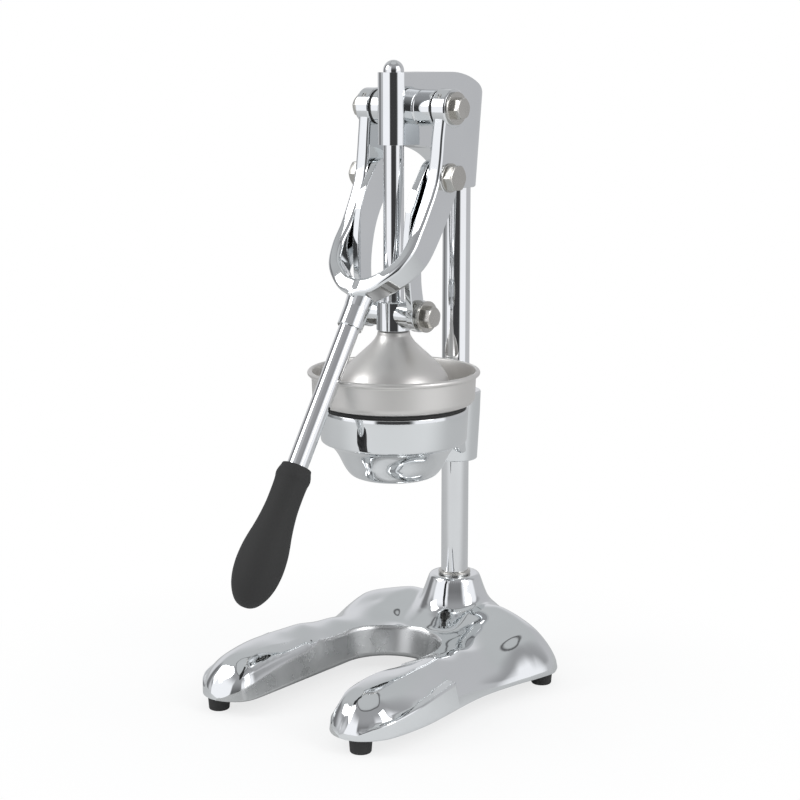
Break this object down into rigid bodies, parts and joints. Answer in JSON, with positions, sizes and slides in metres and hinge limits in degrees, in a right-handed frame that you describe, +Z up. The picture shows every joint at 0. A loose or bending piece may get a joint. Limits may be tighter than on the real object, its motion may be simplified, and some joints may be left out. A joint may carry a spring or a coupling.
{
  "type": "lever citrus press",
  "caption": "Free-standing lever citrus press: a forked hand lever drives a ram and cone down into a strainer cup over an open slot for the glass.",
  "frame": {"origin": "on the table, under the middle of the whole object's bounding box", "axes": "+Z up, -Y towards the user, +X to the user's right; the post stands at +Y, the ram is 91 mm in front of it"},
  "size_m": [0.2364, 0.3285, 0.5555],
  "materials": {
    "chrome_casting": "bright chrome plate over a smooth casting",
    "chrome_bar": "bright chrome plate on turned and cut bar",
    "satin_stainless": "satin stainless sheet, fine turned grain",
    "nickel_hardware": "plain nickel plate, slightly dull",
    "dark_screws": "dark oiled steel",
    "black_rubber": "matt black rubber",
    "black_grip": "satin black moulded plastic"
  },
  "bodies": {
    "frame": {"base_casting": "chrome_casting", "rubber_feet": "black_rubber", "foot_screws": "nickel_hardware", "post": "chrome_bar", "post_collar": "chrome_bar", "post_washer": "nickel_hardware", "post_nut": "nickel_hardware", "head_casting": "chrome_casting", "head_set_screw": "dark_screws", "thrust_washers": "black_rubber", "cup_holder": "chrome_casting", "holder_set_screw": "dark_screws", "cup_seat_ring": "black_rubber"},
    "cup": {"strainer_cup": "satin_stainless"},
    "ram": {"ram_rod": "chrome_bar", "crosshead": "chrome_bar", "crosshead_set_screw": "dark_screws", "press_cone": "satin_stainless", "cone_lock_nut": "nickel_hardware"},
    "lever": {"lever_fork": "chrome_casting", "fork_set_screws": "dark_screws", "handle_rod": "chrome_bar", "handle_pin": "nickel_hardware", "hand_grip": "black_grip", "pivot_shaft": "nickel_hardware", "pivot_washers": "nickel_hardware", "pivot_bolts": "nickel_hardware", "mid_pivot_washers": "nickel_hardware", "mid_pivot_bolts": "nickel_hardware"},
    "right_link_body": {"right_link": "chrome_bar", "right_link_bolt": "nickel_hardware", "right_link_washers": "nickel_hardware"},
    "left_link_body": {"left_link": "chrome_bar", "left_link_bolt": "nickel_hardware", "left_link_washers": "nickel_hardware"}
  },
  "joints": [
    {"name": "lever_swing", "type": "hinge", "parent": "frame", "child": "lever", "pos_m": [0, 0.0615, 0.515], "axis": [-1, 0, 0], "range_deg": [0, 100]},
    {"name": "ram_slide", "type": "slide", "parent": "frame", "child": "ram", "axis": [0, 0, 1], "range_m": [0, 0.0772]},
    {"name": "right_link_swing", "type": "hinge", "parent": "lever", "child": "right_link_body", "pos_m": [0.028, 0.0564, 0.45672], "axis": [-1, 0, 0], "range_deg": [-125.5, 0]},
    {"name": "left_link_swing", "type": "hinge", "parent": "lever", "child": "left_link_body", "pos_m": [-0.028, 0.0564, 0.45672], "axis": [-1, 0, 0], "range_deg": [-125.5, 0]},
    {"name": "cup_turn", "type": "hinge", "parent": "frame", "child": "cup", "pos_m": [0, 0.0385, 0.26], "axis": [0, 0, 1], "continuous": true}
  ],
  "couplings": [
    {"joint": "ram_slide", "follows": "lever_swing", "m_per_rad": 0.04404},
    {"joint": "right_link_swing", "follows": "lever_swing", "ratio": -1.249},
    {"joint": "left_link_swing", "follows": "lever_swing", "ratio": -1.249}
  ]
}
